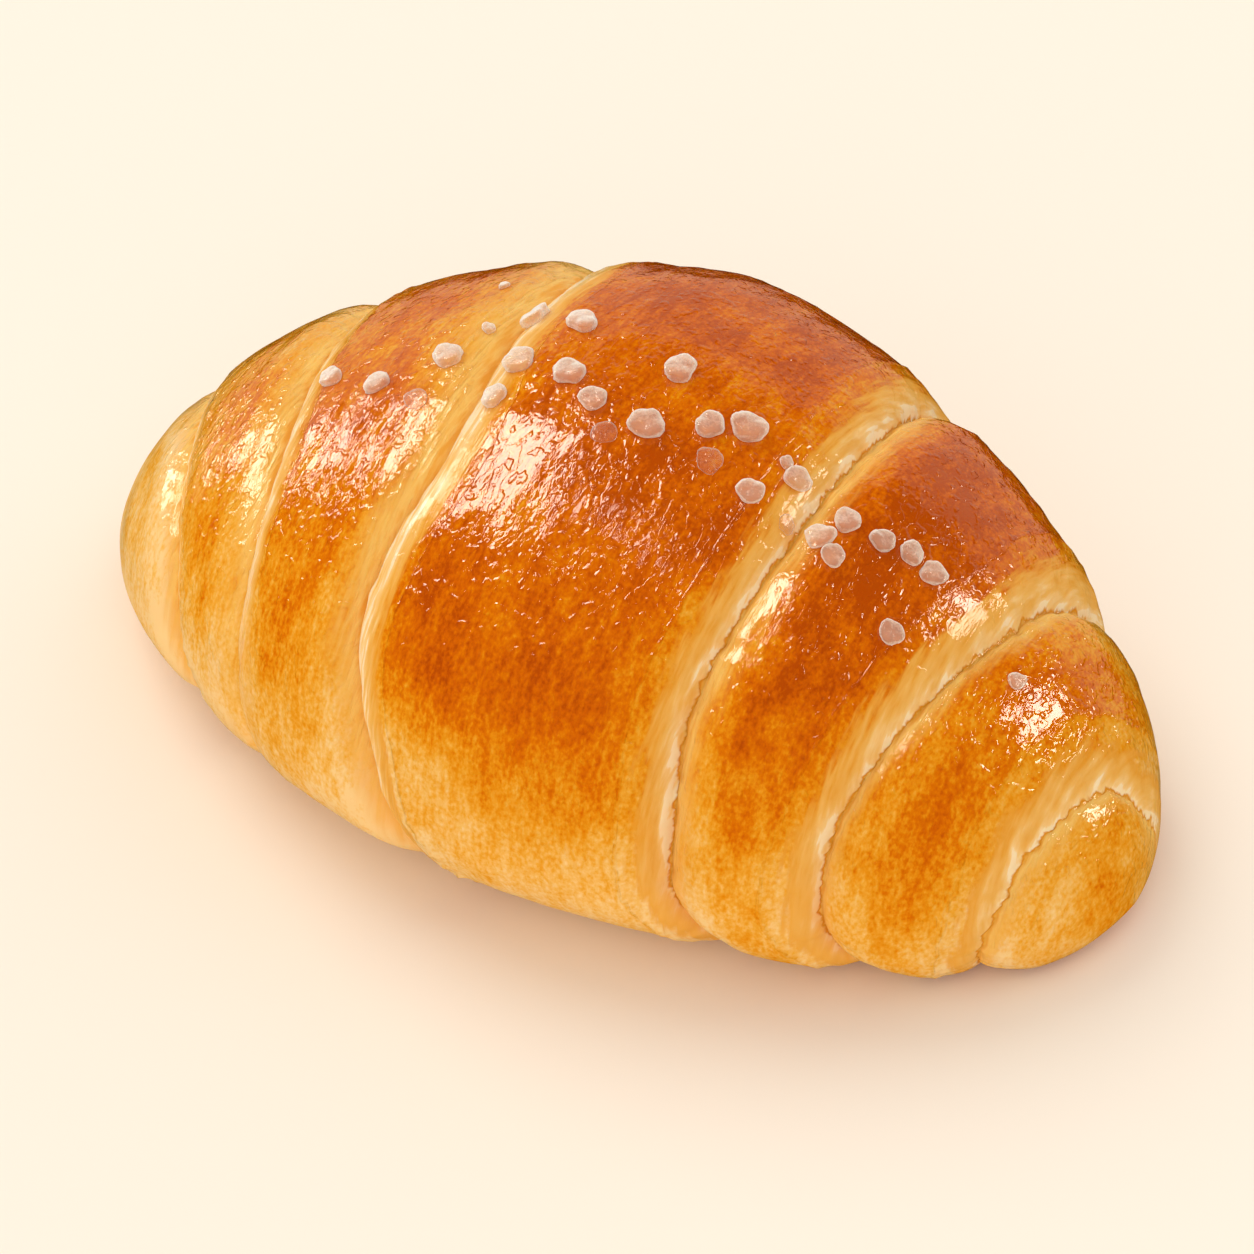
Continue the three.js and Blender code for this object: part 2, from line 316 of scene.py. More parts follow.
# %% Every point's nearest crease
inset = np.zeros_like(x)
nearest = np.full_like(x, 1e3)
crease_mm = np.zeros_like(x)
across = np.zeros_like(x)
seen = np.zeros_like(x)
shoulder = np.zeros_like(x)
for crease in creases:
    side, strength, turns = crease["side"], crease["strength"], crease["turns"]
    beyond = side * (x - crease["x"])
    on_lip = np.clip(1 + beyond / LIP_ROUNDING, 0, 1)
    on_slope = np.clip(1 - beyond / FAR_SLOPE, 0, 1)
    share = np.where(beyond < 0, 1 - np.sqrt(1 - on_lip**2), on_slope**2)
    inset = np.maximum(inset, CREASE_DEPTH * strength * share)
    along = np.stack([turns * GIRTH / 15, 0 * turns + side * 3.1, 0 * turns], -1)
    band = curve_through(LEFT_BAND if side < 0 else RIGHT_BAND, turns)
    band = band * (1 + 0.15 * noise(along, 11))
    pale = curve_through(LEFT_PALE if side < 0 else RIGHT_PALE, turns)
    pale = pale * (1 + 0.2 * noise(along, 12))
    width = np.where(beyond < 0, band, pale)
    distance = np.abs(beyond) + FAINT_MM * (1 - strength)
    closer = distance < nearest
    nearest = np.where(closer, distance, nearest)
    crease_mm = np.where(closer, np.clip(beyond, -9, 9), crease_mm)
    share_across = np.clip(beyond / width, -2, 2)
    if side < 0:
        share_across = np.where(beyond < 0, -(np.abs(share_across) ** LEFT_POWER), share_across)
    across = np.where(closer, np.clip(share_across, -2, 2), across)
    reach = np.maximum(FAR_MM, width + 1.0)
    fade = 1 - ease(reach - 1.0, reach, np.abs(beyond))
    seen = np.where(closer, np.minimum(1, strength * 1.4) * fade, seen)
    wide = 1 - np.abs(beyond) / (width + SHOULDER_MM)
    shoulder = np.maximum(shoulder, np.clip(wide, 0, 1) * np.minimum(1, strength * 1.3))
crack = seen * np.exp(-np.abs(crease_mm) / 0.4)
lip = seen * np.exp(-(((across + 1.0) / 0.11) ** 2))
unglazed = seen * ease(-1.15, -0.95, across) * (1 - ease(0.0, 1.0, across))
print("deepest crease, mm:", round(float(inset.max()), 2))

# %% [markdown]
# ## Where the salt sits
#
# Salt draws water out of the glaze round it, so every crystal stands in a shallow ring of
# raised egg wash. The measured model says where the crystals are.

# %% Rings round the crystals
# The same ring also darkens the crust's colour later, as painted shade at each crystal's foot.
grain_names = sorted(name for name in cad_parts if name.startswith("salt_grain"))
grain_boxes = [np.array(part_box(name)) / MM for name in grain_names]
grain_middles = [box.mean(0) for box in grain_boxes]
grain_sizes = [float(np.sort(box[1] - box[0])[-2:].mean()) for box in grain_boxes]
smooth_skin = body(x, inset)
salt_ring = np.zeros_like(x)
RING_REACH, RING_MM = 0.66, 0.38  # how far out as a share of the crystal, and how wide
for middle, size in zip(grain_middles, grain_sizes):
    away = np.sqrt(((smooth_skin - middle) ** 2).sum(-1))
    salt_ring = np.maximum(salt_ring, np.exp(-(((away - size * RING_REACH) / RING_MM) ** 2)))
print("crystals found:", len(grain_names))

# %% [markdown]
# ## Small relief
#
# A baked skin has shallow swells a centimetre across, and fine stretch wrinkles that run
# round the roll, because the strip was pulled as it was rolled. The egg wash dries into a
# crinkled film on top. Noise read from the place on the smooth body, squeezed round the
# roll, gives the stretched shapes, and the distance of a noise value from its middle gives
# thin branching lines, as of a crinkle. The lowest flank got no egg wash to speak of.

# %% Where the glaze and the torn skin are
place = body(x, 0)
to_right_end = ease(0.55, 0.95, 2 * (x - MIDDLE_X) / LENGTH)
up_the_side = place[..., 2] / HEIGHT + 0.12 * noise(place / 7, 28) + 0.3 * to_right_end
glazed = ease(0.12, 0.62, up_the_side)
print("glazed share of the skin:", round(float(glazed.mean()), 2))

# %% [markdown]
# ## Adding up the relief
#
# All the small shapes are heights in millimetres, so they can simply be added, and the skin
# is worked out once more with the sum taken off its depth.

# %% Relief in mm
SWELL_MM, SMALL_SWELL_MM = 0.26, 0.14
WRINKLE_MM, CRINKLE_MM, TORN_MM = 0.15, 0.18, 0.16
LIP_MM, CRACK_MM, RING_RISE_MM = 0.2, 0.25, 0.12
swells = SWELL_MM * noise(place / 11, 21) + SMALL_SWELL_MM * noise(place / 5, 22)
wrinkles = layered_noise(place * np.array([1.0, 0.22, 0.22]) / 2.4, 23, 2)
crinkle = 0.5 - np.abs(noise(place * np.array([1, 0.5, 0.5]) / 2.3, 27))
torn = layered_noise(place * np.array([1, 0.6, 0.6]) / 1.6, 25, 2)
relief = swells + WRINKLE_MM * wrinkles * (0.4 + 0.6 * glazed) + CRINKLE_MM * crinkle * glazed
relief = relief * (1 - 0.6 * unglazed) + TORN_MM * torn * unglazed
relief = relief + LIP_MM * lip - CRACK_MM * crack + RING_RISE_MM * salt_ring
skin = body(x, inset - relief)
print("relief, mm:", round(float(relief.min()), 2), "to", round(float(relief.max()), 2))

# %% [markdown]
# ## The sole
#
# Everything that would sink into the tray is pressed flat. The wraps meet there too, so the
# flat sole keeps faint seams where the creases pass under it.

# %% Press the sole flat
SEAM_MM, SEAM_HALF_WIDTH = 0.35, 0.7
under = ease(0.3, -0.6, skin[..., 2])
seam = np.zeros_like(x)
for crease in creases:
    near = np.exp(-(((x - crease["x"]) / SEAM_HALF_WIDTH) ** 2))
    seam = np.maximum(seam, near * ease(0.0, 0.02, crease["turns"]))
skin[..., 2] = np.maximum(skin[..., 2], 0) + SEAM_MM * seam * under
print("height, mm:", round(float(skin[..., 2].max()), 2))


# %% [markdown]
# ## Making the mesh
#
# Rings of points, joined ring to ring, and one point at each end where the rings shrink to
# nothing. The faces run so that they all look outwards.


# %% Closed skin from rings
def closed_mesh(name, rings, first, last):
    """A closed mesh from an array of rings (ring, side, xyz in metres) and two end points.
    Each ring turns right-handed about the way from the last ring to the first."""
    count, sides = rings.shape[:2]
    points = np.concatenate([rings.reshape(-1, 3), [first, last]])
    ring, side = np.meshgrid(np.arange(count - 1), np.arange(sides), indexing="ij")
    after = (side + 1) % sides
    quads = np.stack(
        [ring * sides + side, ring * sides + after, (ring + 1) * sides + after,
         (ring + 1) * sides + side], -1
    ).reshape(-1, 4)
    side = np.arange(sides)
    after = (side + 1) % sides
    end = (count - 1) * sides
    first_fan = np.stack([side * 0 + count * sides, after, side], -1)
    last_fan = np.stack([side * 0 + count * sides + 1, end + side, end + after], -1)
    mesh = bpy.data.meshes.new(name)
    mesh.from_pydata(points.tolist(), [], quads.tolist() + first_fan.tolist() + last_fan.tolist())
    mesh.shade_smooth()
    piece = bpy.data.objects.new(name, mesh)
    bpy.context.scene.collection.objects.link(piece)
    return piece


def signed_volume(mesh):
    """The volume inside a closed mesh: a sixth of the triple product over its triangles."""
    mesh.calc_loop_triangles()
    corners = np.empty(len(mesh.loop_triangles) * 3, np.int32)
    mesh.loop_triangles.foreach_get("vertices", corners)
    points = np.empty(len(mesh.vertices) * 3)
    mesh.vertices.foreach_get("co", points)
    a, b, c = points.reshape(-1, 3)[corners.reshape(-1, 3)].transpose(1, 0, 2)
    return float((a * np.cross(b, c)).sum() / 6)


# %% [markdown]
# ## The roll, and numbers kept on its points
#
# Only now do millimetres become metres. The signed volume tells whether the faces look
# outwards. Whatever a material has to know about a place is kept on the mesh under a name.

# %% The roll, and numbers kept on its points
ends = [body(np.array([[end * LENGTH / 2 + MIDDLE_X] * SIDES]), 0)[0, 0] for end in (-1, 1)]
bread = closed_mesh("bread_roll", skin * MM, ends[0] * MM, ends[1] * MM)
if signed_volume(bread.data) < 0:
    bread.data.flip_normals()
print("bread volume, cm3:", round(signed_volume(bread.data) * 1e6, 1))


def store(piece, name, values, kind="FLOAT"):
    """Keeps one number, or one vector, for each vertex under a name the material can read."""
    field = piece.data.attributes.new(name, kind, "POINT")
    key = "value" if kind == "FLOAT" else "vector"
    field.data.foreach_set(key, np.asarray(values, np.float32).ravel())


def with_ends(values):
    """Adds the two end points' values: those of the rings next to them."""
    flat = values.reshape((-1,) + values.shape[2:])
    tails = [values[0].mean(0), values[-1].mean(0)]
    return np.concatenate([flat, tails])


# %% [markdown]
# ## How brown each place is
#
# The oven browns what stands nearest to it: the top and the crowns of the wraps. The
# shoulders next to a crease stay lighter, the flanks go golden, and the lowest centimetre,
# shaded by the roll itself, stays pale, down to a thin brown line where the dough met the
# hot tray. Then it is blotchy, because the egg wash was brushed on by hand.

# %% Browning mask
# How much browner or paler than its middle each part of the roll's length is.
ALONG = [
    (-1, -0.02), (-0.85, -0.08), (-0.65, -0.07), (-0.35, -0.10), (-0.1, -0.01), (0.3, 0.02),
    (0.5, 0.18), (0.8, 0.22), (0.9, 0.28), (1, 0.36),
]
PALEST, BROWN_RISE, BROWN_SLOPE, CREST_LOSS, SHOULDER_LOSS = -0.02, 0.5, 0.36, 0.12, 0.12
height = skin[..., 2] / HEIGHT
blotches = 0.12 * noise(place / 12, 31) + 0.08 * noise(place / 5, 32)
share = np.clip(2 * (x - MIDDLE_X) / LENGTH, -1, 1)
browning = PALEST + BROWN_RISE * ease(0.08, 0.88, height)
browning = browning + BROWN_SLOPE * np.clip(height / 0.9, 0, 1)
browning = browning - CREST_LOSS * ease(0.85, 1.0, height) + curve_through(ALONG, share)
browning = browning + SHOULDER_LOSS * (0.4 - shoulder) + blotches
tray_line = 1 - ease(0.3, 1.8, skin[..., 2] + 0.3 * noise(place / 4, 34))
for name, values in (
    ("browning", browning), ("glazed", glazed), ("crease_mm", crease_mm), ("across", across),
    ("seen", seen), ("salt_ring", salt_ring), ("tray_line", tray_line),
):
    store(bread, name, with_ends(values))
store(bread, "place", with_ends(place), "FLOAT_VECTOR")
print("browning:", round(float(browning.min()), 2), "to", round(float(browning.max()), 2))

# %% [markdown]
# ## A node helper and colours
#
# Colours are picked as sRGB hex, which is how they look on a screen. Shaders add up light,
# so one function turns them into linear values. Another adds one node with its settings and
# its links, which keeps each material readable as a list.


# %% Node helper
def linear(hex_colour):
    """sRGB hex to linear: v/12.92 for the darkest tones, else ((v+0.055)/1.055)^2.4."""
    values = [int(hex_colour[i : i + 2], 16) / 255 for i in (1, 3, 5)]
    return [v / 12.92 if v <= 0.04045 else ((v + 0.055) / 1.055) ** 2.4 for v in values] + [1.0]


def add_node(tree, kind, out=0, stops=(), settings=(), **inputs):
    """Adds one node and returns its output socket called out. Settings are (name, value)
    pairs for the node itself, stops are a ramp's (place, hex) pairs, and each input is a
    value or a socket to link, by its name or, as _0, _1 and so on, by its position."""
    node = tree.nodes.new(kind)
    for name, value in settings:
        setattr(node, name, value)
    if len(stops):
        node.color_ramp.elements.remove(node.color_ramp.elements[1])
        node.color_ramp.elements[0].position = stops[0][0]
        node.color_ramp.elements[0].color = linear(stops[0][1])
    for at, colour in stops[1:]:
        node.color_ramp.elements.new(at).color = linear(colour)
    for name, value in inputs.items():
        socket = node.inputs[int(name[1:]) if name[0] == "_" else name.replace("_", " ")]
        if isinstance(value, bpy.types.NodeSocket):
            tree.links.new(value, socket)
        else:
            socket.default_value = value
    return None if out is None else node.outputs[out]


def new_material(name):
    """A material with an empty node tree."""
    material = bpy.data.materials.new(name)
    material.use_nodes = True
    material.node_tree.nodes.clear()
    return material, material.node_tree


MULTIPLY = [("operation", "MULTIPLY")]
MULTIPLY_ADD = [("operation", "MULTIPLY_ADD")]
ABSOLUTE = [("operation", "ABSOLUTE")]
SMALLER = [("operation", "MINIMUM")]
LARGER = [("operation", "MAXIMUM")]
SMOOTH_STEP = [("interpolation_type", "SMOOTHSTEP")]
# A Mix node set to colours takes them on its inputs 6 and 7.
MIX_COLOURS = [("data_type", "RGBA")]

# %% [markdown]
# ## Egg-washed crust
#
# Crust is browned starch and protein under a thin film of baked egg. The film is what
# shines: a clear coat with an IOR of about 1.5, crinkled as it dried on the rising dough.
# Under it the colour goes from cream through gold to deep orange-brown, and light goes a
# millimetre or so into it before it comes back out. The strip next to a crease has hardly
# any film: amber by the lip, then cream and matt up to the torn edge.

# %% What the crust reads from its points
crust, tree = new_material("egg_washed_crust")
field = {}
for name in ("browning", "glazed", "crease_mm", "across", "seen", "salt_ring", "tray_line"):
    field[name] = add_node(
        tree, "ShaderNodeAttribute", "Fac", settings=[("attribute_name", name)]
    )
on_body = add_node(tree, "ShaderNodeAttribute", "Vector", settings=[("attribute_name", "place")])
print("numbers on the points:", len(field))

# %% [markdown]
# ## Crust patterns
#
# Every pattern is noise read from the place on the smooth body, in millimetres, and drawn
# out round the roll by its stretch. The jags only change round the roll, never along it, so
# they move a torn edge sideways without blurring it.

# %% Crust patterns
pattern = {}
# Each pattern's size in mm, its stretch round the roll, and the noise's own settings.
for name, size_mm, stretch, detail, roughness, distortion in (
    ("blush", 3.4, 1.4, 4, 0.6, 0.0),
    ("marks", 2.4, 4.0, 2, 0.4, 0.2),
    ("ridges", 1.7, 6.0, 2, 0.4, 0.3),
    ("fibres", 0.7, 4.0, 4, 0.55, 0.0),
    ("streaks", 0.6, 9.0, 3, 0.5, 0.0),
    ("pores", 0.45, 1.3, 2, 0.5, 0.0),
    ("beads", 1.0, 1.3, 1, 0.4, 0.0),
    ("crinkle", 1.7, 2.8, 3, 0.5, 0.4),
    ("fine_crinkle", 0.8, 2.4, 2, 0.45, 0.4),
    ("jags", 1.6, 1.0, 2, 0.6, 0.0),
):
    per_mm = [1 / size_mm, 1 / (size_mm * stretch), 1 / (size_mm * stretch)]
    if name == "jags":
        per_mm[0] = 0.0
    where = add_node(tree, "ShaderNodeVectorMath", settings=MULTIPLY, _0=on_body, _1=per_mm)
    pattern[name] = add_node(
        tree, "ShaderNodeTexNoise", "Fac", Vector=where, Scale=1.0, Detail=detail,
        Roughness=roughness, Distortion=distortion,
    )
print("crust patterns:", len(pattern))

# %% [markdown]
# ## Breaking up the browning
#
# The browning mask on its own would be airbrushed. Each pattern swings it up and down about
# its own middle: soft blushes a few millimetres across, marks and fibres drawn out round the
# roll, and fine pores. Just past the lip the crust is paler, and the lip is a thin line.

# %% Browner and paler
BLUSH, MARKS, FIBRES, PORES = 0.36, 0.35, 0.55, 0.6
PALER_PAST_LIP, DARKER_LIP = -0.12, 0.05
brown = field["browning"]
for name, amount in (("blush", BLUSH), ("marks", MARKS), ("fibres", FIBRES), ("pores", PORES)):
    swing = add_node(
        tree, "ShaderNodeMath", settings=MULTIPLY_ADD, _0=pattern[name], _1=amount, _2=-amount / 2
    )
    brown = add_node(tree, "ShaderNodeMath", _0=brown, _1=swing)
after_lip = add_node(
    tree, "ShaderNodeMapRange", settings=SMOOTH_STEP, Value=field["across"], From_Min=-1.08,
    From_Max=-0.95, To_Max=PALER_PAST_LIP,
)
after_lip = add_node(tree, "ShaderNodeMath", settings=MULTIPLY, _0=after_lip, _1=field["seen"])
brown = add_node(tree, "ShaderNodeMath", _0=brown, _1=after_lip)
near_lip = add_node(
    tree, "ShaderNodeMath", settings=MULTIPLY_ADD, _0=pattern["streaks"], _1=0.16, _2=0.92
)
near_lip = add_node(tree, "ShaderNodeMath", _0=near_lip, _1=field["across"])
near_lip = add_node(tree, "ShaderNodeMath", settings=ABSOLUTE, _0=near_lip)
lip_line = add_node(
    tree, "ShaderNodeMapRange", settings=SMOOTH_STEP, Value=near_lip, From_Min=0.07, From_Max=0.01
)
lip_line = add_node(tree, "ShaderNodeMath", settings=MULTIPLY, _0=lip_line, _1=field["seen"])
brown = add_node(
    tree, "ShaderNodeMath", settings=MULTIPLY_ADD, _0=lip_line, _1=DARKER_LIP, _2=brown
)

# %% [markdown]
# ## Crust colours
#
# One ramp holds every stage of browning, from cream dough through gold and amber to the
# deep orange-brown of the crown.

# %% Crust colours
crust_colour = add_node(
    tree, "ShaderNodeValToRGB", "Color", Fac=brown,
    stops=[
        (0.0, "#FACE8A"), (0.18, "#F6BC62"), (0.36, "#F0A634"), (0.52, "#EA9214"),
        (0.66, "#E07604"), (0.82, "#D26004"), (1.0, "#B84A04"),
    ],
)

# %% [markdown]
# ## Colours across a crease
#
# Across a crease other ramps take over: amber after the lip, then cream up to the torn edge,
# brightest right at it as a painted highlight of the rim, and on the far side a golden start
# to the lower wrap. The torn edge jumps from side to side by a third of a millimetre, and the
# ends of both zones are frayed by the streaks.

# %% Colours across a crease
TORN_EDGE_MM = 0.6
jagged = add_node(
    tree, "ShaderNodeMath", settings=MULTIPLY_ADD, _0=pattern["jags"], _1=TORN_EDGE_MM,
    _2=field["crease_mm"],
)
jagged = add_node(tree, "ShaderNodeMath", _0=jagged, _1=-TORN_EDGE_MM / 2)
side = add_node(
    tree, "ShaderNodeMapRange", settings=SMOOTH_STEP, Value=jagged, From_Min=-0.08, From_Max=0.08
)
roughly_across = add_node(
    tree, "ShaderNodeMath", settings=MULTIPLY_ADD, _0=pattern["streaks"], _1=0.9,
    _2=field["across"],
)
roughly_across = add_node(tree, "ShaderNodeMath", _0=roughly_across, _1=-0.45)
ramp_place = add_node(
    tree, "ShaderNodeMath", settings=MULTIPLY_ADD, _0=roughly_across, _1=0.4, _2=0.5
)
upper_place = add_node(tree, "ShaderNodeMath", settings=SMALLER, _0=ramp_place, _1=0.499)
# Pale cream dough, brightened at the very torn edge as a painted highlight of the rim.
upper_colour = add_node(
    tree, "ShaderNodeValToRGB", "Color", Fac=upper_place,
    stops=[
        (0.26, "#E28E24"), (0.33, "#E9A03C"), (0.42, "#F0B45C"), (0.48, "#F8CA84"),
        (0.5, "#FDE2B4"),
    ],
)
lower_place = add_node(tree, "ShaderNodeMath", settings=LARGER, _0=ramp_place, _1=0.501)
lower_colour = add_node(
    tree, "ShaderNodeValToRGB", "Color", Fac=lower_place,
    stops=[(0.5, "#EEA640"), (0.56, "#F7C468"), (0.7, "#F2B04C"), (0.9, "#EC9C2C")],
)
strip_colour = add_node(
    tree, "ShaderNodeMix", "Result", settings=MIX_COLOURS, Factor=side, _6=upper_colour,
    _7=lower_colour,
)

# %% [markdown]
# ## Gold low down, and the strips over the crust
#
# Low on the flanks, where the heat was gentler and there is no glaze, the strips turn from
# cream to plain gold in patches. Then they are laid over the crust.

# %% Strips over the crust
PALE_GOLD = "#F3B04C"
golden_low = add_node(
    tree, "ShaderNodeMath", settings=MULTIPLY_ADD, _0=field["glazed"], _1=-0.65, _2=0.1
)
for name, amount in (("blush", 0.7), ("fibres", 0.5)):
    golden_low = add_node(
        tree, "ShaderNodeMath", settings=MULTIPLY_ADD, _0=pattern[name], _1=amount, _2=golden_low
    )
strip_colour = add_node(
    tree, "ShaderNodeMix", "Result", settings=MIX_COLOURS, Factor=golden_low, _6=strip_colour,
    _7=linear(PALE_GOLD),
)
from_lip = add_node(
    tree, "ShaderNodeMapRange", settings=SMOOTH_STEP, Value=roughly_across, From_Min=-0.72,
    From_Max=-0.4,
)
to_crust = add_node(
    tree, "ShaderNodeMapRange", settings=SMOOTH_STEP, Value=roughly_across, From_Min=1.05,
    From_Max=0.1,
)
in_strip = add_node(tree, "ShaderNodeMath", settings=MULTIPLY, _0=from_lip, _1=to_crust)
in_strip = add_node(tree, "ShaderNodeMath", settings=MULTIPLY, _0=in_strip, _1=field["seen"])
coloured = add_node(
    tree, "ShaderNodeMix", "Result", settings=MIX_COLOURS, Factor=in_strip, _6=crust_colour,
    _7=strip_colour,
)

# %% [markdown]
# ## Tray line, salt rings and crack
#
# Three small things finish the colour: the brown line where the dough touched the hot tray,
# a darker ring round each crystal's foot, which is painted shade, and the crack itself, a
# hair of darker amber that is painted shade in the gap.

# %% Tray line, salt rings and crack
TRAY_BROWN, FOOT_SHADE_BROWN, CRACK_SHADE_AMBER = "#BE6A16", "#C05004", "#DE8E22"
CRACK_HALF_WIDTH_MM = 0.24
coloured = add_node(
    tree, "ShaderNodeMix", "Result", settings=MIX_COLOURS, Factor=field["tray_line"],
    _6=coloured, _7=linear(TRAY_BROWN),
)
# Painted shade: the crust darkened in a ring round each crystal's foot.
foot_shade = add_node(tree, "ShaderNodeMath", settings=MULTIPLY, _0=field["salt_ring"], _1=0.35)
coloured = add_node(
    tree, "ShaderNodeMix", "Result", settings=MIX_COLOURS, Factor=foot_shade, _6=coloured,
    _7=linear(FOOT_SHADE_BROWN),
)
# Painted shade: a darker amber hair along the crack, where the gap between the wraps is in shade.
crack_width = add_node(
    tree, "ShaderNodeMath", settings=MULTIPLY, _0=pattern["pores"], _1=CRACK_HALF_WIDTH_MM
)
from_crack = add_node(tree, "ShaderNodeMath", settings=ABSOLUTE, _0=jagged)
in_crack = add_node(
    tree, "ShaderNodeMapRange", settings=SMOOTH_STEP, Value=from_crack, From_Min=crack_width,
    From_Max=0.0,
)
in_crack = add_node(tree, "ShaderNodeMath", settings=MULTIPLY, _0=in_crack, _1=field["seen"])
coloured = add_node(
    tree, "ShaderNodeMix", "Result", settings=MIX_COLOURS, Factor=in_crack, _6=coloured,
    _7=linear(CRACK_SHADE_AMBER),
)

# %% [markdown]
# ## Where the film of egg is
#
# The glaze shines where the egg film is whole. It is thin on the strip that opened up after
# brushing, on the upper wrap's side of the crack, and it runs out low on the flanks.

# %% Film of egg
near_crack = add_node(
    tree, "ShaderNodeMapRange", settings=SMOOTH_STEP, Value=roughly_across, From_Min=0.45,
    From_Max=0.1,
)
bare = add_node(tree, "ShaderNodeMath", settings=MULTIPLY, _0=in_strip, _1=near_crack)
film = add_node(tree, "ShaderNodeMath", settings=MULTIPLY_ADD, _0=bare, _1=-0.65, _2=1.0)
film = add_node(tree, "ShaderNodeMath", settings=MULTIPLY, _0=film, _1=field["glazed"])

# %% [markdown]
# ## Crinkled glaze
#
# Relief finer than the mesh is a bump, added up in millimetres. A crinkle is a flat film cut
# by narrow grooves, so it is made from how far a noise is from its middle value: nothing in
# the groove, and the full height everywhere else. It comes in two sizes, in patches.

# %% Crinkled glaze
GROOVED_STRIP_MM = 0.14
grooved = add_node(tree, "ShaderNodeMath", settings=MULTIPLY, _0=pattern["streaks"], _1=in_strip)
relief_mm = add_node(tree, "ShaderNodeMath", settings=MULTIPLY, _0=grooved, _1=GROOVED_STRIP_MM)
crinkled_here = add_node(
    tree, "ShaderNodeMapRange", settings=SMOOTH_STEP, Value=pattern["blush"], From_Min=0.4,
    From_Max=0.62, To_Min=0.7,
)
crinkled_here = add_node(tree, "ShaderNodeMath", settings=MULTIPLY, _0=crinkled_here, _1=film)
# Each pattern's narrowness of groove, and its height in mm.
for name, narrow, height_mm in (
    ("crinkle", 26.0, 0.024), ("fine_crinkle", 18.0, 0.009), ("ridges", 18.0, -0.004)
):
    middle = add_node(
        tree, "ShaderNodeMath", settings=MULTIPLY_ADD, _0=pattern[name], _1=narrow, _2=-narrow / 2
    )
    away = add_node(tree, "ShaderNodeMath", settings=ABSOLUTE, _0=middle)
    plateau = add_node(
        tree, "ShaderNodeMapRange", settings=SMOOTH_STEP, Value=away, To_Max=height_mm
    )
    plateau = add_node(tree, "ShaderNodeMath", settings=MULTIPLY, _0=plateau, _1=crinkled_here)
    relief_mm = add_node(tree, "ShaderNodeMath", _0=relief_mm, _1=plateau)

# %% [markdown]
# ## Marks, beads, lip and torn step
#
# Stretch marks ripple the film and break up its highlights, beads of dried egg catch small
# lights of their own, the lip carries a row of beads, and the upper wrap stands a little
# above the lower one at the torn edge.

# %% Marks, beads, lip and torn step
MARKS_MM, BEADS_MM, BEADED_LIP_MM, STEP_MM, GROOVE_MM = 0.24, 0.08, 0.16, 0.05, 0.06
marks = add_node(tree, "ShaderNodeMath", settings=MULTIPLY, _0=pattern["marks"], _1=film)
relief_mm = add_node(
    tree, "ShaderNodeMath", settings=MULTIPLY_ADD, _0=marks, _1=MARKS_MM, _2=relief_mm
)
beads = add_node(
    tree, "ShaderNodeMapRange", settings=SMOOTH_STEP, Value=pattern["beads"], From_Min=0.53,
    From_Max=0.7, To_Max=BEADS_MM,
)
beads = add_node(tree, "ShaderNodeMath", settings=MULTIPLY, _0=beads, _1=film)
relief_mm = add_node(tree, "ShaderNodeMath", _0=relief_mm, _1=beads)
beaded = add_node(tree, "ShaderNodeMath", settings=MULTIPLY, _0=lip_line, _1=pattern["pores"])
step = add_node(tree, "ShaderNodeMath", settings=MULTIPLY, _0=side, _1=field["seen"])
for what, height_mm in ((beaded, BEADED_LIP_MM), (step, -STEP_MM), (in_crack, -GROOVE_MM)):
    relief_mm = add_node(
        tree, "ShaderNodeMath", settings=MULTIPLY_ADD, _0=what, _1=height_mm, _2=relief_mm
    )

# %% [markdown]
# ## The crust's shader
#
# Matt crumb and crust below, and the film as a clear coat over it. The base has no gloss of
# its own, so the coat alone makes the highlights and the orange under it stays deep.

# %% Crust shader
bumped = add_node(tree, "ShaderNodeBump", Strength=1.0, Distance=MM, Height=relief_mm)
matt = add_node(tree, "ShaderNodeMath", settings=MULTIPLY_ADD, _0=film, _1=-0.25, _2=0.7)
coat = add_node(tree, "ShaderNodeMath", settings=MULTIPLY_ADD, _0=film, _1=0.75, _2=0.25)
surface = add_node(
    tree, "ShaderNodeBsdfPrincipled",
    Base_Color=coloured,
    Roughness=matt,
    Specular_IOR_Level=0.0,
    Normal=bumped,
    Coat_Normal=bumped,
    Coat_Weight=coat,
    Coat_Roughness=0.05,
    Coat_IOR=1.5,
    Subsurface_Weight=0.1,
    Subsurface_Radius=[1.0, 0.4, 0.12],
    Subsurface_Scale=1.5 * MM,
)
add_node(tree, "ShaderNodeOutputMaterial", None, Surface=surface)
bread.data.materials.append(crust)
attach(bread, "root")
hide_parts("bread")
print("crust nodes:", len(tree.nodes))

# %% [markdown]
# ## Salt crystals
#
# Coarse salt for baking is rock or sea salt crushed and sieved to about three millimetres.
# The corners wear off in the bag, and in the oven steam melts the surface a little, so each
# crystal is a flattened lump with a frosted skin. A few have all but melted into the glaze.

# %% Crystal shapes
crust_points = skin.reshape(-1, 3)
mesh_normals = np.empty(len(bread.data.vertices) * 3, np.float32)
bread.data.vertex_normals.foreach_get("vector", mesh_normals)
crust_normals = mesh_normals.reshape(-1, 3)[: len(crust_points)]
RINGS, SEGMENTS = 14, 28
SQUARE_ROUND, SQUARE_UP = 0.45, 0.6  # the powers of the sines: 1 is a plain ball
THICK, MELTED_THICK = 0.2, 0.12  # half the thickness, as a share of the size across
STAND, MELTED_STAND = 0.72, 0.02 / 0.12  # the middle's height, as a share of that
MELTED = {14, 26, 27, 28}


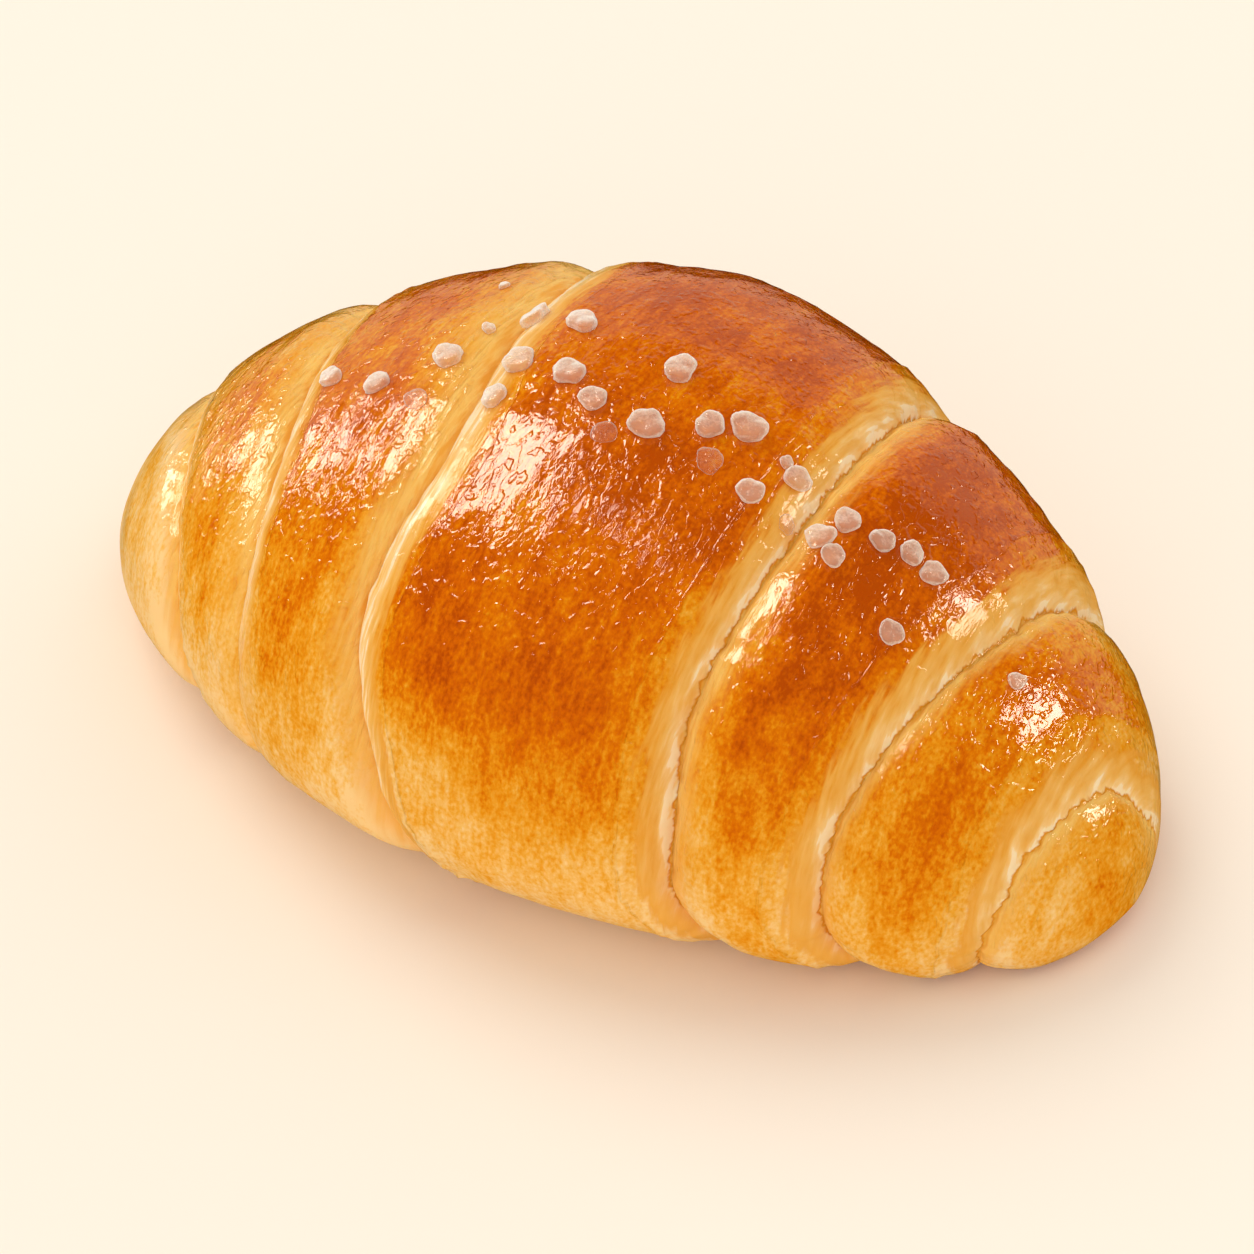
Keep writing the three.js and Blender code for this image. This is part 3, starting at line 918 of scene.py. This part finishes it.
def crystal(name, centre, outward, size, seed, melted):
    """A lump: a flattened sphere whose outline swells and dents with noise, squared off by
    raising its sines to a power under 1, and stood up along the crust's normal."""
    lift = np.linspace(-math.pi / 2, math.pi / 2, RINGS + 2)[1:-1, None]
    around = np.linspace(0, 2 * math.pi, SEGMENTS, endpoint=False)[None, :]
    flat = np.cos(lift) ** SQUARE_ROUND
    rise = np.sign(np.sin(lift)) * np.abs(np.sin(lift)) ** SQUARE_UP
    direction = np.stack(
        [flat * np.cos(around), flat * np.sin(around), rise + 0 * around], -1
    )
    lobes = 1 + 0.06 * np.sin(2 * around + seed) + 0.05 * np.sin(3 * around + 2.1 * seed)
    lobes = lobes + 0.03 * np.sin(5 * around + 3.3 * seed)
    rough = 1 + 0.10 * noise(direction * 1.6 + seed, seed)
    rough = rough + 0.05 * noise(direction * 4 + seed, seed)
    thick = MELTED_THICK if melted else THICK
    local = direction * (lobes * rough)[..., None] * np.array([0.5, 0.5, thick]) * size
    along = np.cross(outward, [math.sin(seed), math.cos(seed), 0.2])
    along = along / np.linalg.norm(along)
    sideways = np.cross(outward, along)
    basis = np.stack([along, sideways, outward])
    stand = thick * (MELTED_STAND if melted else STAND)
    middle = centre + outward * size * stand
    poles = [middle + outward * size * thick * end * 0.98 for end in (-1, 1)]
    rings = local @ basis + middle
    piece = closed_mesh(name, rings * MM, poles[0] * MM, poles[1] * MM)
    if signed_volume(piece.data) < 0:
        piece.data.flip_normals()
    return piece


# %% [markdown]
# ## Crystals on the crust
#
# Each crystal is a tenth wider than its measured lump, and much flatter. Its foot is the
# nearest point of the crust, and the crust's normal there is its way up.

# %% Crystals on the crust
SPREAD = 1.1
grains = []
for number, name in enumerate(grain_names, 1):
    middle, size = grain_middles[number - 1], grain_sizes[number - 1] * SPREAD
    nearest_point = int(np.argmin(((crust_points - middle) ** 2).sum(-1)))
    outward = crust_normals[nearest_point].astype(float)
    outward = outward / np.linalg.norm(outward)
    foot = crust_points[nearest_point]
    melted = number in MELTED
    piece = crystal(f"crystal_{number:02d}", foot, outward, size, number, melted)
    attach(piece, "root")
    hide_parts(name)
    grains.append(piece)
print("crystals:", len(grains))

# %% [markdown]
# ## Frosted salt
#
# Salt is clear with an IOR of 1.54, but its worn surface scatters, so it looks milky and lets
# the colour of the crust through its middle; its rim is painted whiter, a painted highlight
# of light caught in the edge. That is a cover that grows from the middle of a crystal, as the
# eye meets it, to its rim, broken up by a grit of a third of a millimetre. The melted crystals
# are nearly clear, and glossy.

# %% Salt materials
GRIT_MM, FROST_MM = 0.3, 0.2
# How much each kind covers in the middle and at the rim, and how rough it is.
for name, middle, rim, roughness in (
    ("frosted_salt", 0.34, 1.0, 0.25),
    ("melted_salt", 0.08, 0.4, 0.08),
):
    salt, tree = new_material(name)
    where = add_node(tree, "ShaderNodeTexCoord", "Object")
    grit = add_node(
        tree, "ShaderNodeTexNoise", "Fac", Vector=where, Scale=1 / (GRIT_MM * MM), Detail=3.0,
        Roughness=0.65,
    )
    frosted = add_node(tree, "ShaderNodeBump", Strength=1.0, Distance=FROST_MM * MM, Height=grit)
    edge = add_node(tree, "ShaderNodeLayerWeight", "Facing", Blend=0.5)
    milky = add_node(
        tree, "ShaderNodeMath", settings=MULTIPLY_ADD, _0=grit, _1=0.5, _2=edge
    )
    milky = add_node(
        tree, "ShaderNodeMapRange", Value=milky, From_Min=0.4, From_Max=0.9,
        To_Min=middle, To_Max=rim,
    )
    # Milky salt, whiter towards the rim as the eye meets it: a painted highlight.
    milk_and_rim_highlight = add_node(
        tree, "ShaderNodeMix", "Result", settings=MIX_COLOURS, Factor=edge,
        _6=linear("#FFD2AE"), _7=linear("#FFF8EC"),
    )
    surface = add_node(
        tree, "ShaderNodeBsdfPrincipled",
        Base_Color=milk_and_rim_highlight,
        Roughness=roughness,
        Specular_IOR_Level=0.0,
        Coat_Weight=0.35,
        Coat_Roughness=0.08,
        Coat_IOR=1.54,
        Alpha=milky,
        Normal=frosted,
        Subsurface_Weight=0.3,
        Subsurface_Radius=[1.0, 0.85, 0.7],
        Subsurface_Scale=0.5 * MM,
    )
    add_node(tree, "ShaderNodeOutputMaterial", None, Surface=surface)
    for number, piece in enumerate(grains, 1):
        if (number in MELTED) == (name == "melted_salt"):
            piece.data.materials.append(salt)
    print(name + ", nodes:", len(tree.nodes))

# %% [markdown]
# ## Floor and light
#
# A plain cream floor, big enough to run past the picture on every side. The crust's coat
# doesn't mirror it, which keeps the lower flanks deep in colour.

# %% Floor
FLOOR_HALF = 6.0
floor_mesh = bpy.data.meshes.new("floor")
floor_mesh.from_pydata(
    [(-FLOOR_HALF, -FLOOR_HALF, 0), (FLOOR_HALF, -FLOOR_HALF, 0), (FLOOR_HALF, FLOOR_HALF, 0),
     (-FLOOR_HALF, FLOOR_HALF, 0)], [], [(0, 1, 2, 3)]
)
floor = bpy.data.objects.new("floor", floor_mesh)
bpy.context.scene.collection.objects.link(floor)
floor.visible_glossy = False
paper, tree = new_material("cream_paper_sweep")
surface = add_node(
    tree, "ShaderNodeBsdfPrincipled",
    Base_Color=linear("#FBEEDC"), Roughness=0.9, Specular_IOR_Level=0.0,
)
add_node(tree, "ShaderNodeOutputMaterial", None, Surface=surface)
floor_mesh.materials.append(paper)
print("floor, m across:", 2 * FLOOR_HALF)

# %% [markdown]
# ## Aiming lamps
#
# Every lamp, and later the camera, is placed by how far round and how high up it is seen
# from the roll.


# %% Aiming lamps
def direction_from(azimuth, elevation):
    """The way to a point seen at an azimuth, 0 in front and 90 on the right, and elevation."""
    a, e = math.radians(azimuth), math.radians(elevation)
    return np.array([math.sin(a) * math.cos(e), -math.cos(a) * math.cos(e), math.sin(e)])


def lamp_towards(name, kind, azimuth, elevation, distance):
    """A lamp on that side of the roll, facing the middle of it: its own z axis runs away
    from the roll and its x axis stays level."""
    light = bpy.data.lights.new(name, kind)
    lamp = bpy.data.objects.new(name, light)
    bpy.context.scene.collection.objects.link(lamp)
    back = direction_from(azimuth, elevation)
    right = np.cross([0, 0, 1], back)
    right = right / np.linalg.norm(right)
    up = np.cross(back, right)
    lamp.location = np.array([0, 0, HEIGHT * MM / 2]) + back * distance
    lamp.rotation_mode = "QUATERNION"
    turned = Matrix(np.stack([right, up, back], 1).tolist())
    lamp.rotation_quaternion = turned.to_quaternion()
    return lamp


# %% [markdown]
# ## Softboxes
#
# A shiny crust is lit twice. What it mirrors makes the highlights: a large softbox on the
# left for the broad ones, smaller ones low, behind and overhead for the far wraps, and a dim
# wall at the back for the skyline. They give gloss only, so each can be set without changing
# the colours.

# %% Softboxes
SOFTBOX_AWAY = 1.3
# Azimuth and elevation, width and height in metres, and how bright its mirror image is.
for name, azimuth, elevation, width, tall, brightness in (
    ("left_softbox", -93, 54, 0.7, 0.64, 19.0),
    ("left_low_softbox", -100, 14, 0.3, 0.45, 13.0),
    ("back_right_softbox", 128, 20, 0.32, 0.4, 20.0),
    ("overhead_strip", 20, 86, 0.08, 0.4, 14.0),
    ("back_wall", -155, 8, 4.5, 1.2, 0.55),
):
    lamp = lamp_towards(name, "AREA", azimuth, elevation, SOFTBOX_AWAY)
    lamp.data.shape = "RECTANGLE"
    lamp.data.size, lamp.data.size_y = width, tall
    lamp.data.energy = brightness * math.pi * width * tall
    lamp.data.color = linear("#FFEBD6")[:3]
    lamp.visible_diffuse = False

# %% [markdown]
# ## Soft light and the tent
#
# The other half is the light that colours and shades the roll: three very wide suns, which
# cast soft shadows and leave no mirror image, in an even white dome.

# %% Soft light and the tent
SUN_AWAY = 2.0
# Azimuth and elevation, how wide in degrees, and its strength.
for name, azimuth, elevation, wide, strength in (
    ("soft_key", -105, 50, 40, 0.95),
    ("soft_fill", 15, 28, 70, 0.75),
    ("soft_back_fill", 145, 30, 70, 0.3),
):
    lamp = lamp_towards(name, "SUN", azimuth, elevation, SUN_AWAY)
    lamp.data.angle = math.radians(wide)
    lamp.data.energy = strength
    lamp.visible_glossy = False
TENT_STRENGTH = 0.7
world = bpy.data.worlds.new("white_tent")
bpy.context.scene.world = world
world.use_nodes = True
backdrop = world.node_tree.nodes.get("Background")
backdrop.inputs["Color"].default_value = linear("#FFFFFF")
backdrop.inputs["Strength"].default_value = TENT_STRENGTH
world.cycles_visibility.glossy = False
print("lamps:", len(bpy.data.lights))

# %% [markdown]
# ## Camera
#
# A long lens from a little over forty degrees up, turned towards the roll's right end.

# %% Camera
CAMERA_AZIMUTH, CAMERA_ELEVATION = 31.0, 42.0
CAMERA_DISTANCE = 0.67415
LOOK_AT_MM = [0.43, 0.0, 14.04]
SENSOR_WIDTH = 36.0
FOCAL_SHARE = 6022.5 / 1254  # focal length as a share of the sensor's width
camera_data = bpy.data.cameras.new("camera")
camera_data.sensor_width = SENSOR_WIDTH
camera_data.lens = SENSOR_WIDTH * FOCAL_SHARE
camera_data.clip_start = 0.01
camera = bpy.data.objects.new("camera", camera_data)
bpy.context.scene.collection.objects.link(camera)
look_at = np.array(LOOK_AT_MM) * MM
way = direction_from(CAMERA_AZIMUTH, CAMERA_ELEVATION)
camera.location = look_at + way * CAMERA_DISTANCE
camera.rotation_euler = (math.radians(90 - CAMERA_ELEVATION), 0, math.radians(CAMERA_AZIMUTH))
bpy.context.scene.camera = camera
bpy.context.scene.view_settings.view_transform = "Standard"
bpy.context.scene.view_settings.look = "None"
print("lens, mm:", round(camera_data.lens, 1))
